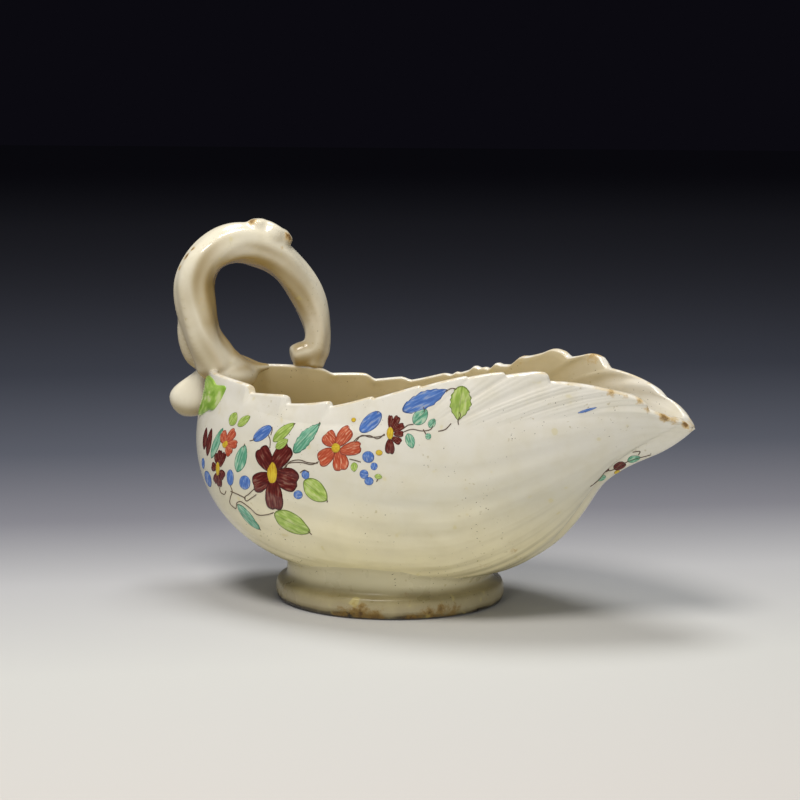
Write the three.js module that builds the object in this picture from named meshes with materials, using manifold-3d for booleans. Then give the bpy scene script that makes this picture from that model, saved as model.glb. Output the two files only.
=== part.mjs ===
// A glazed earthenware sauceboat moulded as a pair of overlapping leaves, with a
// twisted stalk bent round for a handle and a flower bud at the handle's root.
// Millimetres, +Z up, the spout points along +X. The finished group stands with the
// middle of its length and width over the origin and its foot on z = 0.
//
// The potter's pieces are kept apart as they were luted together: two pressed leaf
// halves that meet at the seam, a thrown foot ring, and the rolled handle pieces.

import * as THREE from 'three';
import { mergeVertices } from 'three/addons/utils/BufferGeometryUtils.js';
import Module from 'manifold-3d';

// Leaf body, seen from the side
const BACK_X = -70;          // back end of the rim, measured from the foot's axis
const SPOUT_X = 112.5;       // tip of the spout
const BACK_Z = 79.2;          // rim height at the back
const WAIST_X = -12;         // lowest place of the rim
const WAIST_Z = 73.8;
const SHOULDER_X = 58;       // highest place of the rim, where the spout starts
const SHOULDER_Z = 86.8;
const TIP_Z = 68.5;          // rim height at the tip of the spout
const BOTTOM_X = 2;          // lowest place of the keel
const BOTTOM_Z = 9.3;
const THROAT_X = 77.8;       // where the keel turns out under the spout
const THROAT_Z = 44.3;
const BACK_OVERHANG = 13;    // how far the keel's curve leans out behind the back

// Leaf body, seen from above and in section
const HALF_WIDTH = 42;       // seam to rim
const SPOUT_TAPER = 0.5;     // share of the width that the rim loses by the tip
const BELLY = 1.24;          // fullness of the section, 1 is an upright wall
const WALL = 3;
const RIM_CROWN = 0.7;       // height of the rounded rim above its edges
const TIP_SOLID = 1.4;       // wall thicknesses of clay at the point of the spout

// Leaf edge: the place of each notch along X and its depth, and the length of rim in
// which a tooth falls off. The near edge is crisp, the far one runs in rounded lobes.
const NEAR_EDGE = {
  side: -1,
  teeth: [
    [-41, 2.6], [-23.5, 3], [-5, 1.9], [12, 0.9], [29.5, 0.7],
    [45, 0.6], [57, 1.2], [70.5, 3.2], [100, 2.8],
  ],
  run: 1.2,
};
const FAR_EDGE = {
  side: 1,
  teeth: [
    [-42, 1.6], [-26, 2], [-12, 1.4], [5, 1.6], [19, 1.5],
    [29, 1.4], [55, 2.2], [72, 3.4], [97, 1.4],
  ],
  run: 4,
};

// Leaf veins
const FLANK_VEINS = 8;       // veins of a side that run on to the tip of the spout
const FLANK_TOP = 0.88;      // share of the side's height at which the highest of them runs
const VEIN_DROP = 0.7;       // how steeply the flank veins come down from the stalk
const VEIN_LIFT = 0.9;       // how steeply they rise again under the spout
const EDGE_PITCH = 12;       // spacing of the short veins that climb from there to the rim
const EDGE_SLANT = 0.15;     // how far they run along while they climb, as a share of the leaf
const VEIN_RISE = 0.6;       // height of a vein's crest over the groove beside it

// Foot ring
const FOOT_RADIUS = 40;      // outer edge of the rest face, along X
const FOOT_OVAL = 0.92;      // width of the ring over its length
const FOOT_BULGE = 1.7;      // how far the bead stands out past the rest face
const FOOT_BEAD = 7.6;       // height of the bead
const NECK_RADIUS = 37.4;
const FOOT_WALL = 5;         // ring thickness at the neck
const FOOT_TOP = 25;         // height to which the ring runs up before the body trims it
const FOOT_SIDES = 48;

// Handle
const STALK_ROOT_RADIUS = 8.2;
const STALK_RADIUS = 7.2;
const STALK_END_RADIUS = 5.4;
const LOOP_RISE = 46.5;      // top of the stalk's centre line over the back of the rim
const LANDING = 0.244;       // place along the far rim where the stalk comes down
const STALK_ROUTE = [        // toward the landing, as a share of the way, and share of the rise
  [0.02, -0.19], [-0.03, 0.055], [-0.172, 0.286], [-0.24, 0.538], [-0.232, 0.736], [-0.1, 0.905],
  [0.176, 1], [0.515, 0.928], [0.8, 0.73], [0.985, 0.46], [1.045, 0.23], [1.01, 0.03], [0.985, -0.07],
];
const STALK_STEPS = 36;
const STALK_SIDES = 11;
const STALK_TWIST = 2.2;     // turns of the twist along the stalk
const STALK_RIDGE = 0.5;     // height of the twisted ridges

// Bud, its stem and its leaves, and the pruned side shoots
const BUD_LENGTH = 23.7;
const BUD_RADIUS = 7.6;
const BUD_TILT = 64;         // degrees below the horizontal
const STEM_RADIUS = 2.5;
const SEPAL_THICKNESS = 1.4;
const KNOT_RADIUS = 5.6;
const KNOT_HEIGHT = 2.8;
const TWIG_RADIUS = 3.8;
const TWIG_LENGTH = 3.8;

const SLIP = 0.3;            // slip joint left between two luted pieces

const wasm = await Module();
wasm.setup();

const mix = (a, b, t) => a + (b - a) * t;
const clamp01 = (t) => Math.min(1, Math.max(0, t));
const smooth = (t) => clamp01(t) ** 2 * (3 - 2 * clamp01(t));

function bezier(p, t) {
  const n = 1 - t;
  return n * n * n * p[0] + 3 * n * n * t * p[1] + 3 * n * t * t * p[2] + t * t * t * p[3];
}

// Height of the rim: it sags to the waist, rises to the shoulder and dives to the tip.
function rimHeight(x) {
  if (x < WAIST_X) return mix(BACK_Z, WAIST_Z, smooth((x - BACK_X) / (WAIST_X - BACK_X)));
  if (x < SHOULDER_X) {
    return mix(WAIST_Z, SHOULDER_Z, smooth((x - WAIST_X) / (SHOULDER_X - WAIST_X)));
  }
  return mix(SHOULDER_Z, TIP_Z, ((x - SHOULDER_X) / (SPOUT_X - SHOULDER_X)) ** 2);
}

// A tooth climbs gently toward the spout and falls off over the edge's run.
function toothHeight({ teeth, run }, x) {
  let last = [BACK_X, 0];
  for (const tooth of teeth) {
    if (x < tooth[0]) {
      const start = last[0] + run;
      const climb = clamp01((x - start) / (tooth[0] - start));
      const fall = clamp01((x - last[0]) / run);
      if (climb > 0) return mix(-last[1] / 2, tooth[1] / 2, climb);
      return mix(last[1] / 2, -last[1] / 2, fall);
    }
    last = tooth;
  }
  const fall = clamp01((x - last[0]) / run);
  const fade = clamp01((SPOUT_X - x) / (SPOUT_X - last[0] - run));
  return mix(last[1] / 2, -last[1] / 2, fall) * fade;
}

// The rim at u, from 0 at the back to 1 at the tip, drawn in by an inset.
function rim(u, inset) {
  const back = BACK_X + inset;
  const tip = SPOUT_X - inset * TIP_SOLID;
  const c = -Math.cos(Math.PI * u);
  const x = (back + tip) / 2 + (tip - back) / 2 * c;
  const taper = 1 - SPOUT_TAPER * Math.max(c, 0) ** 1.35;
  return new THREE.Vector3(x, (HALF_WIDTH - inset) * Math.sin(Math.PI * u) * taper, rimHeight(x));
}

// The keel in the seam plane: down the back, along the bottom, up the prow.
const KEEL = [
  [0, 0.53, [BACK_X, BACK_X - BACK_OVERHANG, mix(BACK_X, BOTTOM_X, 0.25), BOTTOM_X],
    [BACK_Z, mix(BOTTOM_Z, BACK_Z, 0.42), BOTTOM_Z, BOTTOM_Z]],
  [0.53, 0.84, [BOTTOM_X, mix(BOTTOM_X, THROAT_X, 0.532), mix(BOTTOM_X, THROAT_X, 0.78), THROAT_X],
    [BOTTOM_Z, BOTTOM_Z, mix(BOTTOM_Z, THROAT_Z, 0.17), THROAT_Z]],
  [0.84, 1, [THROAT_X, mix(THROAT_X, SPOUT_X, 0.21), mix(THROAT_X, SPOUT_X, 0.657), SPOUT_X],
    [THROAT_Z, mix(THROAT_Z, TIP_Z, 0.44), mix(THROAT_Z, TIP_Z, 0.558), TIP_Z]],
];

function keelPoint(u) {
  const [from, to, xs, zs] = KEEL.find((piece) => u <= piece[1]) ?? KEEL[2];
  const t = (u - from) / (to - from);
  return new THREE.Vector3(bezier(xs, t), 0, bezier(zs, t));
}

function keel(u, inset) {
  const p = keelPoint(u);
  const along = keelPoint(Math.min(1, u + 1e-3)).sub(keelPoint(Math.max(0, u - 1e-3))).normalize();
  p.add(new THREE.Vector3(-along.z, 0, along.x).multiplyScalar(inset));
  // both ends run out into the ends of the rim
  const ends = [[0, clamp01(1 - u / 0.12)], [1, clamp01((u - 0.86) / 0.14)]];
  for (const [end, near] of ends) {
    const at = keelPoint(end);
    const side = keelPoint(end ? 0.999 : 0.001).sub(at).multiplyScalar(end ? -1 : 1).normalize();
    at.add(new THREE.Vector3(-side.z, 0, side.x).multiplyScalar(inset));
    p.add(rim(end, inset).sub(at).multiplyScalar(near * near));
  }
  return p;
}

// A point of the body at u along it and s up its side, s = 0 on the keel and 1 on the
// rim. A negative s is the near side. The spout's sections turn from a bowl to a V.
function skin(u, s, inset) {
  const low = keel(u, inset);
  const top = rim(u, inset);
  const spout = smooth((u - 0.62) / 0.3);
  const rise = top.z - low.z;
  const t = Math.abs(s);
  const g = bezier([0, 0, 0.35, 1], t);
  const y = bezier([0, mix(BELLY - 0.1, 0.25, spout), mix(BELLY, 0.8, spout), 1], t) * top.y;
  const z = low.z + bezier([0, 0, mix(0.27, 0.45, spout), 1], t) * rise;
  return new THREE.Vector3(mix(low.x, top.x, g), Math.sign(s) * y, z);
}

function skinNormal(u, s) {
  const a = Math.min(0.995, Math.max(0.005, u));
  const along = skin(a + 2e-3, s, 0).sub(skin(a - 2e-3, s, 0));
  const up = skin(a, s + 2e-3, 0).sub(skin(a, s - 2e-3, 0));
  return up.cross(along).normalize();
}

// The veins fan out from the stalk at the back. A flank vein comes down to the share h of
// the side's height by FAN_U and runs on to the tip; the keel is the lowest one, at h = 0.
const FAN_U = 0.62;

function veinHeight(h, u) {
  const drop = VEIN_DROP * h * h * (1 - h) * smooth((FAN_U - u) / 0.2);
  const lift = VEIN_LIFT * h * (1 - h) * clamp01((u - FAN_U) / (1 - FAN_U));
  return h + drop + lift;
}

// Places along the rim: the crest and the groove of every edge vein, with a place on both
// edges of every notch.
function rimPlaces({ teeth, run }) {
  const place = (x) => Math.acos(1 - 2 * (x - BACK_X) / (SPOUT_X - BACK_X)) / Math.PI;
  const stops = [0, ...teeth.flatMap(([x]) => [place(x), place(x + run)]), 1];
  const places = [{ k: 0, crest: 0 }];
  for (let i = 0; i < stops.length; i += 2) {
    const chord = rim(stops[i], 0).distanceTo(rim(stops[i + 1], 0));
    const steps = 2 * Math.max(1, Math.round(chord / EDGE_PITCH));
    for (let j = 1; j <= steps; j++) {
      places.push({ k: mix(stops[i], stops[i + 1], j / steps), crest: j % 2 });
    }
    if (i + 2 < stops.length) places.push({ k: stops[i + 2], crest: 0 });
  }
  return places;
}

// One skin of a leaf half across the side, from the keel up to a place on the rim. It
// crosses the flank veins and then follows an edge vein. The veins stand out over the
// front half of the leaf, and the teeth fade below the edge.
function across({ k, crest }, edge, inset, relief, flankSteps) {
  const points = [];
  const add = (u, s, rise, near) => {
    const p = skin(u, edge.side * s, inset);
    const full = relief * rise * smooth((u - 0.3) / 0.3) * clamp01((1 - u) / 0.08);
    if (full > 0) p.addScaledVector(skinNormal(u, edge.side * s), full);
    p.z += (toothHeight(edge, rim(k, 0).x) - Math.min(0, inset)) * near;
    points.push(p);
  };
  const from = k - EDGE_SLANT * smooth((k - 0.45) / 0.35) * clamp01((1 - k) / 0.2);
  for (let j = 0; j <= flankSteps; j++) {
    add(from, veinHeight(FLANK_TOP * j / flankSteps, from), j % 2, 0);
  }
  const top = veinHeight(FLANK_TOP, from);
  for (const climb of [0.25, 0.5, 0.75, 1]) {
    add(mix(from, k, climb), mix(top, 1, climb), crest * Math.min(1, 2 * climb), smooth(climb));
  }
  return points;
}

// Closed solid through a row of rings with equal numbers of points, capped at both ends.
function loft(rings) {
  const count = rings[0].length;
  const xyz = rings.flat().flatMap((p) => [p.x, p.y, p.z]);
  const faces = [];
  for (let i = 0; i < rings.length - 1; i++) {
    for (let j = 0; j < count; j++) {
      const a = i * count + j;
      const next = (j + 1) % count;
      const b = i * count + next;
      const rising = rings[i][next].distanceTo(rings[i + 1][j]);
      const falling = rings[i][j].distanceTo(rings[i + 1][next]);
      if (rising < falling) faces.push([a, b, a + count], [b, b + count, a + count]);
      else faces.push([a, b, b + count], [a, b + count, a + count]);
    }
  }
  const last = (rings.length - 1) * count;
  for (let j = 1; j < count - 1; j++) faces.push([0, j + 1, j], [last, last + j, last + j + 1]);
  return closed(xyz, faces);
}

// Shared corners are merged, collapsed faces dropped and the faces turned outward.
function closed(xyz, faces) {
  let geometry = new THREE.BufferGeometry();
  geometry.setAttribute('position', new THREE.Float32BufferAttribute(xyz, 3));
  geometry.setIndex(faces.flat());
  geometry = mergeVertices(geometry, 1e-3);
  const index = Array.from(geometry.index.array);
  const kept = [];
  for (let i = 0; i < index.length; i += 3) {
    const [a, b, c] = index.slice(i, i + 3);
    if (a !== b && b !== c && c !== a) kept.push(a, b, c);
  }
  const at = (i) => new THREE.Vector3().fromBufferAttribute(geometry.getAttribute('position'), i);
  let volume = 0;
  for (let i = 0; i < kept.length; i += 3) {
    volume += at(kept[i]).dot(at(kept[i + 1]).cross(at(kept[i + 2])));
  }
  geometry.setIndex(volume > 0 ? kept : kept.reverse());
  return geometry;
}

function toManifold(geometry) {
  const vertProperties = new Float32Array(geometry.getAttribute('position').array);
  const triVerts = new Uint32Array(geometry.index.array);
  return new wasm.Manifold(new wasm.Mesh({ numProp: 3, vertProperties, triVerts }));
}

function cut(geometry, ...tools) {
  let solid = toManifold(geometry);
  for (const tool of tools) solid = solid.subtract(toManifold(tool));
  const mesh = solid.getMesh();
  const result = new THREE.BufferGeometry();
  result.setAttribute('position', new THREE.BufferAttribute(new Float32Array(mesh.vertProperties), 3));
  result.setIndex(new THREE.BufferAttribute(new Uint32Array(mesh.triVerts), 1));
  return result;
}

// One pressed leaf half: outer skin with its veins, rounded rim, plain inner skin and
// the flat seam face. A growth makes the cutting tool that leaves the slip joint.
function leafHalf(edge, grow = 0) {
  return loft(rimPlaces(edge).map((place) => {
    const outer = across(place, edge, -grow, VEIN_RISE, 2 * FLANK_VEINS);
    const inner = across(place, edge, WALL + grow, 0, FLANK_VEINS);
    const crown = outer.at(-1).clone().lerp(inner.at(-1), 0.5);
    crown.z += RIM_CROWN;
    inner.at(-1).z += grow;
    return pastSeam([...outer, crown, ...inner.reverse()], edge.side * grow);
  }));
}

// A leaf half filled in to the rim, which trims what is luted to its outside.
function filledHalf(edge, grow) {
  return loft(rimPlaces(edge).map((place) => {
    const outer = across(place, edge, -grow, VEIN_RISE, 2 * FLANK_VEINS);
    return pastSeam([...outer, outer.at(-1).clone().setY(0)], edge.side * grow);
  }));
}

// Grown halves run on past the seam, so that together they leave no film there.
function pastSeam(ring, reach) {
  for (const p of ring) if (reach && Math.abs(p.y) < 1e-9) p.y = -reach;
  return ring;
}

// Foot ring: a bead on a flat rest face, a hollow neck, open underneath.
function footRing() {
  const inner = NECK_RADIUS - FOOT_WALL;
  const profile = [
    [inner + FOOT_WALL * 0.3, 0], [FOOT_RADIUS - FOOT_BULGE * 0.6, 0],
    [FOOT_RADIUS + FOOT_BULGE * 0.1, FOOT_BEAD * 0.09], [FOOT_RADIUS + FOOT_BULGE * 0.8, FOOT_BEAD * 0.25],
    [FOOT_RADIUS + FOOT_BULGE, FOOT_BEAD * 0.48], [FOOT_RADIUS + FOOT_BULGE * 0.75, FOOT_BEAD * 0.75],
    [NECK_RADIUS + FOOT_WALL * 0.4, FOOT_BEAD], [NECK_RADIUS + FOOT_WALL * 0.08, FOOT_BEAD * 1.12],
    [NECK_RADIUS, FOOT_BEAD * 1.26], [NECK_RADIUS + FOOT_WALL * 0.16, FOOT_BEAD * 1.6],
    [NECK_RADIUS + FOOT_WALL * 0.6, FOOT_TOP], [inner, FOOT_TOP], [inner, FOOT_BEAD],
    [inner + FOOT_WALL * 0.1, FOOT_BEAD * 0.13], [inner + FOOT_WALL * 0.3, 0],
  ].map(([r, z]) => new THREE.Vector2(r, z));
  const ring = new THREE.LatheGeometry(profile, FOOT_SIDES);
  ring.rotateX(Math.PI / 2);
  ring.scale(1, FOOT_OVAL, 1);
  ring.deleteAttribute('normal');
  ring.deleteAttribute('uv');
  return closed(ring.getAttribute('position').array, [Array.from(ring.index.array)]);
}

// Rolled clay along a curve: round or ridged, with its own radius at every step.
function rolled(curve, steps, sides, radius, ridge = 0, turns = 0) {
  const frames = curve.computeFrenetFrames(steps);
  const rings = [];
  for (let i = 0; i <= steps; i++) {
    const t = i / steps;
    const centre = curve.getPointAt(t);
    rings.push(Array.from({ length: sides }, (_, j) => {
      const angle = 2 * Math.PI * j / sides;
      const r = radius(t) + ridge * Math.cos(2 * (angle - 2 * Math.PI * turns * t));
      return centre.clone()
        .addScaledVector(frames.normals[i], r * Math.cos(angle))
        .addScaledVector(frames.binormals[i], r * Math.sin(angle));
    }));
  }
  return loft(rings);
}

// The stalk loops over in one upright plane, from the back end to the far rim.
const loopRoot = new THREE.Vector3(BACK_X + 1, 0, 0);
const loopWay = rim(LANDING, 0).setZ(0).sub(loopRoot);
const stalkCurve = new THREE.CatmullRomCurve3(STALK_ROUTE.map(([way, rise]) =>
  loopRoot.clone().addScaledVector(loopWay, way).setZ(BACK_Z + rise * LOOP_RISE)), false, 'centripetal');

function stalk(grow = 0) {
  const radius = (t) => {
    const root = mix(STALK_ROOT_RADIUS, STALK_RADIUS, smooth(t / 0.17));
    const end = mix(root, STALK_END_RADIUS, smooth((t - 0.6) / 0.3));
    const tips = Math.sqrt(clamp01(Math.min(t, 1 - t) / 0.03)) * 0.25 + 0.75;
    return end * tips + grow;
  };
  return rolled(stalkCurve, STALK_STEPS, STALK_SIDES, radius, STALK_RIDGE, STALK_TWIST);
}

// A short pruned shoot standing on the stalk at t, leaning the way it is pointed.
function shoot(t, direction, radius, length, flare, grow = 0) {
  const from = stalkCurve.getPointAt(t);
  const way = new THREE.Vector3(...direction).normalize();
  const reach = mix(STALK_RADIUS, STALK_END_RADIUS, smooth((t - 0.6) / 0.3)) + length;
  const stops = [0.3, 0.8, 0.94, 1];
  const path = new THREE.LineCurve3(from, from.clone().addScaledVector(way, reach + grow));
  const side = new THREE.Vector3(0, 0, 1).cross(way).normalize();
  const over = way.clone().cross(side);
  return loft(stops.map((stop, i) => Array.from({ length: 12 }, (_, j) => {
    const angle = 2 * Math.PI * j / 12;
    const r = radius * [flare, 1, 1, 0.72][i] + grow;
    return path.getPoint(stop)
      .addScaledVector(side, r * Math.cos(angle))
      .addScaledVector(over, r * Math.sin(angle));
  })));
}

// A place by the root of the stalk, in root radii from the back end of the rim.
function byRoot([x, y, z]) {
  const root = new THREE.Vector3(BACK_X, 0, BACK_Z);
  return new THREE.Vector3(x, y, z).multiplyScalar(STALK_ROOT_RADIUS).add(root);
}

// The pear-shaped bud hangs backward from the root of the stalk.
const budRoot = byRoot([-0.61, 0, 0.4]);
const budTilt = THREE.MathUtils.degToRad(BUD_TILT);

function bud(grow = 0) {
  const profile = [];
  for (let i = 0; i <= 12; i++) {
    const t = i / 12;
    const r = BUD_RADIUS * Math.sin(Math.PI * t ** 2) ** 0.7;
    profile.push(new THREE.Vector2(i % 12 ? r + grow : 0, t * (BUD_LENGTH + 2 * grow) - grow));
  }
  const pear = new THREE.LatheGeometry(profile, 16);
  pear.rotateZ(Math.PI / 2 + budTilt);
  pear.rotateX(Math.PI / 2);
  pear.translate(budRoot.x, budRoot.y, budRoot.z);
  pear.deleteAttribute('normal');
  pear.deleteAttribute('uv');
  return closed(pear.getAttribute('position').array, [Array.from(pear.index.array)]);
}

// The bud's own stem runs down the back of the stalk and into the bud.
function budStem(grow = 0) {
  const route = [
    [-0.8, -1, 3.3], [-1.15, -0.93, 2.3], [-1.2, -0.7, 1.34], [-1, -0.37, 0.5],
  ].map(byRoot);
  const curve = new THREE.CatmullRomCurve3([...route, budRoot.clone().lerp(route[3], -0.15)]);
  const radius = (t) => STEM_RADIUS * mix(0.85, 1.2, smooth((t - 0.6) / 0.4)) + grow;
  return rolled(curve, 12, 10, radius);
}

// A three-lobed leaf of the bud, laid on the side of the body below the rim. Its
// outline is drawn on the body's own u and s, and the body is cut out from under it.
const SEPAL_HEART = [0.148, 0.885];
const SEPAL_OUTLINE = [
  [0.06, 0.97], [0.1, 0.985], [0.15, 0.985], [0.205, 0.985], [0.187, 0.935], [0.192, 0.89],
  [0.194, 0.83], [0.168, 0.845], [0.152, 0.79], [0.138, 0.73], [0.118, 0.8], [0.095, 0.88],
];

function sepal(side) {
  const shells = [[1, 0.35], [0.7, 0.8], [0.35, 1]];
  const layer = (reach, lift) => SEPAL_OUTLINE.map(([u, s]) => {
    const [a, b] = [mix(SEPAL_HEART[0], u, reach), side * mix(SEPAL_HEART[1], s, reach)];
    return skin(a, b, 0).addScaledVector(skinNormal(a, b), lift);
  });
  const rings = [0.02, 0.7, 1].map((reach) => layer(reach, -WALL / 2));
  for (const [reach, height] of shells) rings.push(layer(reach, SLIP + height * SEPAL_THICKNESS));
  return loft(rings);
}

const halves = [leafHalf(NEAR_EDGE), leafHalf(FAR_EDGE)];
const grownHalves = [leafHalf(NEAR_EDGE, SLIP), leafHalf(FAR_EDGE, SLIP)];
const filledHalves = [filledHalf(NEAR_EDGE, SLIP), filledHalf(FAR_EDGE, SLIP)];
const handle = stalk();
const grownHandle = stalk(SLIP);
const knot = shoot(0.59, [0.45, 0.4, 0.9], KNOT_RADIUS, KNOT_HEIGHT, 1.15);
const twig = shoot(0.945, [-0.7, -0.75, -0.1], TWIG_RADIUS, TWIG_LENGTH, 1);

const glaze = { roughness: 0.18, metalness: 0 };
const cream = { ...glaze, color: 0xe6e2cf };
const green = { ...glaze, color: 0x8fa85a };

const pieces = [
  ['leaf_near', halves[0], cream],
  ['leaf_far', halves[1], cream],
  ['foot_ring', cut(footRing(), ...filledHalves), { ...glaze, color: 0xdfd9c2 }],
  ['handle_stalk', cut(handle, ...grownHalves), cream],
  ['bud_stem', cut(budStem(), grownHandle, bud(SLIP), ...filledHalves), cream],
  ['flower_bud', cut(bud(), ...filledHalves, grownHandle), cream],
  ['sepal_near', cut(sepal(-1), ...filledHalves, grownHandle, bud(SLIP)), green],
  ['sepal_far', cut(sepal(1), ...filledHalves, grownHandle, bud(SLIP)), green],
  ['branch_knot', cut(knot, grownHandle), cream],
  ['pruned_twig', cut(twig, grownHandle, ...grownHalves), cream],
];

const sauceboat = new THREE.Group();
for (const [name, geometry, look] of pieces) {
  const mesh = new THREE.Mesh(geometry, new THREE.MeshStandardMaterial(look));
  mesh.name = name;
  sauceboat.add(mesh);
}

// Stand the group with the middle of its length and width over the origin.
const box = new THREE.Box3().setFromObject(sauceboat);
sauceboat.position.set(-(box.min.x + box.max.x) / 2, -(box.min.y + box.max.y) / 2, -box.min.z);

export default sauceboat;
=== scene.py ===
# Looks of a glazed earthenware sauceboat: a body pressed as a pair of overlapping leaves,
# a stalk bent round for a handle, a hanging bud and a spray of enamelled flowers.
# The sizes are millimetres from the foot's axis until stand() turns them into metres.
from functools import partial
from math import acos, cos, pi, radians, sin

import bmesh
import bpy
import numpy as np
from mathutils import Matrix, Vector
from mathutils.bvhtree import BVHTree


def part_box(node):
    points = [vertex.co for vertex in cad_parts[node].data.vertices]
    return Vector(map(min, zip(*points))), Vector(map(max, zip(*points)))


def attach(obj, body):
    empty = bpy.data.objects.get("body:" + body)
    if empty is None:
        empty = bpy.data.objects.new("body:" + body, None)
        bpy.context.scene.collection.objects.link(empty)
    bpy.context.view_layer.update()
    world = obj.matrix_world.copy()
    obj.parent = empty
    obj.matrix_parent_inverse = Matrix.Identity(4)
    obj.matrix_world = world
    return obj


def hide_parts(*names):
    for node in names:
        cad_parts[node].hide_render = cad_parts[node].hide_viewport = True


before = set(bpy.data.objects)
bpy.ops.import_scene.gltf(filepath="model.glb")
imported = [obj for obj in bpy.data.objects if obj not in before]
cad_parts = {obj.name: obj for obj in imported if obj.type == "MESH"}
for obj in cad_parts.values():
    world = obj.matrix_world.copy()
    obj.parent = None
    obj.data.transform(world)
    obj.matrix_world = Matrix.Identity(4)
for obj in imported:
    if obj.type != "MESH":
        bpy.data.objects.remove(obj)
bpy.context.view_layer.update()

# ------------ sizes of the body
BACK_X, SPOUT_X = -70.0, 112.5
BACK_Z, WAIST_X, WAIST_Z = 79.2, -12.0, 73.8
SHOULDER_X, SHOULDER_Z, TIP_Z = 58.0, 86.8, 68.5
BOTTOM_X, BOTTOM_Z = 2.0, 9.3
THROAT_X, THROAT_Z = 77.8, 44.3
BACK_OVERHANG = 13.0
HALF_WIDTH, SPOUT_TAPER, BELLY = 42.0, 0.5, 1.24
WALL, TIP_SOLID, RIM_CROWN = 3.0, 1.4, 0.8

# Leaf edges: each tooth's notch along X, its depth and how strongly its crease shows below it;
# the run in which a tooth falls, and the width of its upturned lip; and soft lumps of the rim
# with a place, a height and a width.
NEAR_EDGE = {
    "side": -1, "run": 0.9, "lip": 0.8, "lumps": [],
    "teeth": [(-41, 2.6, 0.7), (-23.5, 3.0, 0.75), (-5, 1.9, 0.5), (12, 0.9, 0.15), (29.5, 0.7, 0.08),
              (45, 0.6, 0.08), (57, 1.2, 0.12), (70.5, 3.2, 0.2), (100, 2.8, 0.25)],
}
FAR_EDGE = {
    "side": 1, "run": 4.0, "lip": 2.0,
    "lumps": [(9.6, 0.9, 1.3), (17.3, 1.2, 1.5), (21.6, 0.7, 1.2), (26.3, 1.4, 1.7), (37, 0.9, 2.4),
              (51, 0.9, 3.2), (68, 0.6, 3), (19, -0.8, 4.5), (29, -1.7, 5.5), (106, 0.9, 5)],
    "teeth": [(-42, 1.6, 0.4), (-26, 2, 0.4), (-12, 1.4, 0.4), (5, 1.6, 0.3), (19, 1.5, 0.2),
              (29, 1.4, 0.2), (55, 2.2, 0.3), (72, 3.4, 0.4), (97, 1.4, 0.3)],
}
FLANK_VEINS, FLANK_TOP, FAN_U = 8, 0.88, 0.62       # the veins fan out up to FAN_U
VEIN_DROP, VEIN_LIFT = 0.7, 0.9
EDGE_PITCH, EDGE_SLANT = 12.0, 0.15                 # of the short veins that climb to the notches
VEIN_RISE, FINE_RISE = 0.46, 0.16                   # the fine ridges lie between the veins
LOBE_RISE = 0.5                                     # where one lobe of the leaf lies over the next
STRIP_WIDTH, GROOVE_OUT, GROOVE_WIDTH = 2.6, 4.3, 1.1      # the strip of clay along the keel
LOW_BLUNT = 0.7                                     # the point of the spout is thicker than the skin
FOLD_FROM, FOLD_WIDTH = 52, 2.9                     # soft folds inside the spout

# The solids' seam face and the point of their spout give the place of the foot's axis.
near_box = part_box("leaf_near")
SHIFT = np.array([near_box[1].x - SPOUT_X / 1000, near_box[1].y, 0.0])


def stand(points):
    """Millimetres from the foot's axis turned into metres in the shared frame."""
    return np.asarray(points, float) / 1000 + SHIFT


def mix(a, b, t):
    return a + (b - a) * t


def clamp01(t):
    return np.clip(t, 0.0, 1.0)


def smooth(t):
    t = clamp01(t)
    return t * t * (3 - 2 * t)


def bezier(p, t):
    n = 1 - t
    return n ** 3 * p[0] + 3 * n * n * t * p[1] + 3 * n * t * t * p[2] + t ** 3 * p[3]


def unit(v):
    return v / np.maximum(np.linalg.norm(v, axis=-1, keepdims=True), 1e-9)


def around(count):
    """Angles of one full turn."""
    return np.linspace(0, 2 * pi, count, endpoint=False)


# ------------ the body's skin
def rim_height(x):
    back = mix(BACK_Z, WAIST_Z, smooth((x - BACK_X) / (WAIST_X - BACK_X)))
    waist = mix(WAIST_Z, SHOULDER_Z, smooth((x - WAIST_X) / (SHOULDER_X - WAIST_X)))
    spout = mix(SHOULDER_Z, TIP_Z, ((x - SHOULDER_X) / (SPOUT_X - SHOULDER_X)) ** 2)
    return np.where(x < WAIST_X, back, np.where(x < SHOULDER_X, waist, spout))


def rim(u, inset=0.0):
    back, tip = BACK_X + inset, SPOUT_X - inset * TIP_SOLID
    c = -np.cos(np.pi * u)
    x = (back + tip) / 2 + (tip - back) / 2 * c
    taper = 1 - SPOUT_TAPER * np.maximum(c, 0) ** 1.35
    return np.stack([x, (HALF_WIDTH - inset) * np.sin(np.pi * u) * taper, rim_height(x)], -1)


KEEL = [
    (0, 0.53, (BACK_X, BACK_X - BACK_OVERHANG, mix(BACK_X, BOTTOM_X, 0.25), BOTTOM_X),
     (BACK_Z, mix(BOTTOM_Z, BACK_Z, 0.42), BOTTOM_Z, BOTTOM_Z)),
    (0.53, 0.84, (BOTTOM_X, mix(BOTTOM_X, THROAT_X, 0.532), mix(BOTTOM_X, THROAT_X, 0.78), THROAT_X),
     (BOTTOM_Z, BOTTOM_Z, mix(BOTTOM_Z, THROAT_Z, 0.17), THROAT_Z)),
    (0.84, 1, (THROAT_X, mix(THROAT_X, SPOUT_X, 0.21), mix(THROAT_X, SPOUT_X, 0.657), SPOUT_X),
     (THROAT_Z, mix(THROAT_Z, TIP_Z, 0.44), mix(THROAT_Z, TIP_Z, 0.558), TIP_Z)),
]


def keel_point(u):
    u = np.asarray(u, float)
    x, z = np.zeros_like(u), np.zeros_like(u)
    for start, end, xs, zs in KEEL:
        here = (u >= start) & (u <= end)
        t = (u - start) / (end - start)
        x = np.where(here, bezier(xs, t), x)
        z = np.where(here, bezier(zs, t), z)
    return np.stack([x, np.zeros_like(x), z], -1)


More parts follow.
